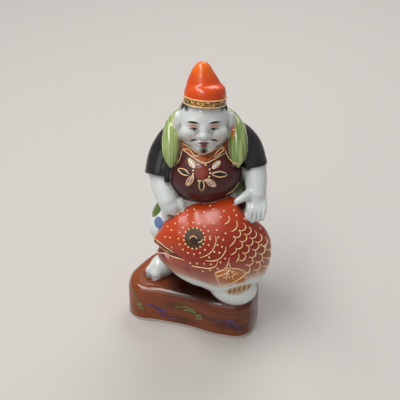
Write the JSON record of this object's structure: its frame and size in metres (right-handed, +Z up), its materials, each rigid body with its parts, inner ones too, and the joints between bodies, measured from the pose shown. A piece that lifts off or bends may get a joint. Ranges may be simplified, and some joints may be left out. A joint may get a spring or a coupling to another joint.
{
  "type": "ebisu figure",
  "caption": "Glazed porcelain figure of a seated lucky god in a tall cap who holds a large sea bream across his lap, on a low rock base.",
  "frame": {"origin": "on the flat underside of the rock, below the middle of the figure", "axes": "+Z up, -Y the way the man faces, +X towards his left hand and the fish's tail"},
  "size_m": [0.0797, 0.0684, 0.1501],
  "materials": {
    "painted_porcelain": "glossy clear glaze with overglaze enamels and gilding"
  },
  "bodies": {
    "root": {"ebisu_figure": "painted_porcelain"}
  },
  "joints": []
}
